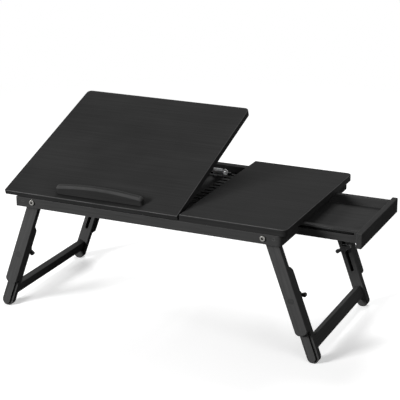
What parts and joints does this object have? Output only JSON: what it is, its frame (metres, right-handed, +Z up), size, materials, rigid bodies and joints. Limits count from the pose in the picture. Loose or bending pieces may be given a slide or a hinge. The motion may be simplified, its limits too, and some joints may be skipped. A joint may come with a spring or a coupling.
{
  "type": "laptop table",
  "caption": "Low folding laptop table with a tilting panel and rest bar, a fixed side board, a pull-out drawer and legs that fold and slide to length.",
  "frame": {"origin": "on the floor, under the middle of the table top", "axes": "+X to the right along the front edge, towards the drawer; +Y to the back; +Z up"},
  "size_m": [0.6989, 0.3504, 0.3593],
  "materials": {
    "painted_wood": "matte black paint",
    "painted_board": "matte black paint",
    "plated_bolt": "nickel plate",
    "black_steel": "black",
    "zinc_steel": "zinc plate",
    "black_plastic": "moulded",
    "beech_dowel": "bare"
  },
  "bodies": {
    "frame": {"front_rail": "painted_wood", "back_rail": "painted_wood", "left_end_rail": "painted_wood", "right_end_rail_front": "painted_wood", "right_end_rail_back": "painted_wood", "centre_divider": "painted_wood", "side_board": "painted_board", "side_board_screws": "zinc_steel", "frame_dowels": "beech_dowel", "drawer_bearer_front": "painted_wood", "drawer_bearer_back": "painted_wood", "drawer_runner_front": "painted_wood", "drawer_runner_back": "painted_wood", "drawer_stop": "painted_wood", "bay_slat": "painted_wood", "rack_board": "painted_wood", "rack_left": "painted_wood", "rack_right": "painted_wood", "panel_hinge_rail_leaves": "black_steel", "panel_hinge_pins": "black_steel", "leg_pivot_bolts": "plated_bolt", "leg_pivot_washers": "black_plastic", "leg_pivot_nuts": "plated_bolt", "leg_stop_pins": "painted_wood"},
    "panel": {"tilt_panel": "painted_board", "rest_bar": "painted_wood", "rest_bar_dowels": "beech_dowel", "panel_hinge_panel_leaves": "black_steel", "prop_bracket": "zinc_steel", "prop_pin": "zinc_steel"},
    "prop": {"prop_arm_left": "zinc_steel", "prop_arm_right": "zinc_steel", "prop_rod": "black_steel"},
    "drawer": {"drawer_front": "painted_wood", "drawer_side_front": "painted_wood", "drawer_side_back": "painted_wood", "drawer_back": "painted_wood", "drawer_bottom": "painted_board", "drawer_dowels": "beech_dowel"},
    "left_upper_legs": {"left_front_upper_leg": "painted_wood", "left_back_upper_leg": "painted_wood", "left_clamp_bolts": "black_steel", "left_clamp_washers": "zinc_steel"},
    "left_lower_legs": {"left_front_lower_leg": "painted_wood", "left_back_lower_leg": "painted_wood", "left_crossbar": "painted_wood", "left_crossbar_dowels": "beech_dowel"},
    "left_front_knob": {"left_front_wing_knob": "black_plastic"},
    "left_back_knob": {"left_back_wing_knob": "black_plastic"},
    "right_upper_legs": {"right_front_upper_leg": "painted_wood", "right_back_upper_leg": "painted_wood", "right_clamp_bolts": "black_steel", "right_clamp_washers": "zinc_steel"},
    "right_lower_legs": {"right_front_lower_leg": "painted_wood", "right_back_lower_leg": "painted_wood", "right_crossbar": "painted_wood", "right_crossbar_dowels": "beech_dowel"},
    "right_front_knob": {"right_front_wing_knob": "black_plastic"},
    "right_back_knob": {"right_back_wing_knob": "black_plastic"}
  },
  "joints": [
    {"name": "panel_tilt", "type": "hinge", "parent": "frame", "child": "panel", "pos_m": [0, -0.1675, 0.23615], "axis": [1, 0, 0], "range_deg": [-19.5, 15.5]},
    {"name": "prop_fold", "type": "hinge", "parent": "panel", "child": "prop", "pos_m": [0, -0.01693, 0.28501], "axis": [1, 0, 0], "range_deg": [-32, 40]},
    {"name": "drawer_slide", "type": "slide", "parent": "frame", "child": "drawer", "axis": [1, 0, 0], "range_m": [-0.108, 0.03]},
    {"name": "left_leg_fold", "type": "hinge", "parent": "frame", "child": "left_upper_legs", "pos_m": [-0.2186, 0, 0.2284], "axis": [0, -1, 0], "range_deg": [0, 104]},
    {"name": "left_leg_extend", "type": "slide", "parent": "left_upper_legs", "child": "left_lower_legs", "axis": [0.342, 0, 0.9397], "range_m": [-0.013, 0.045]},
    {"name": "left_front_knob_turn", "type": "hinge", "parent": "left_upper_legs", "child": "left_front_knob", "pos_m": [-0.26471, -0.1222, 0.11429], "axis": [0, 1, 0], "continuous": true},
    {"name": "left_back_knob_turn", "type": "hinge", "parent": "left_upper_legs", "child": "left_back_knob", "pos_m": [-0.26471, 0.1222, 0.11429], "axis": [0, 1, 0], "continuous": true},
    {"name": "right_leg_fold", "type": "hinge", "parent": "frame", "child": "right_upper_legs", "pos_m": [0.2336, 0, 0.2284], "axis": [0, 1, 0], "range_deg": [0, 104]},
    {"name": "right_leg_extend", "type": "slide", "parent": "right_upper_legs", "child": "right_lower_legs", "axis": [-0.342, 0, 0.9397], "range_m": [-0.013, 0.045]},
    {"name": "right_front_knob_turn", "type": "hinge", "parent": "right_upper_legs", "child": "right_front_knob", "pos_m": [0.27971, -0.1222, 0.11429], "axis": [0, 1, 0], "continuous": true},
    {"name": "right_back_knob_turn", "type": "hinge", "parent": "right_upper_legs", "child": "right_back_knob", "pos_m": [0.27971, 0.1222, 0.11429], "axis": [0, 1, 0], "continuous": true}
  ],
  "couplings": [
    {"joint": "prop_fold", "follows": "panel_tilt", "ratio": -2}
  ]
}
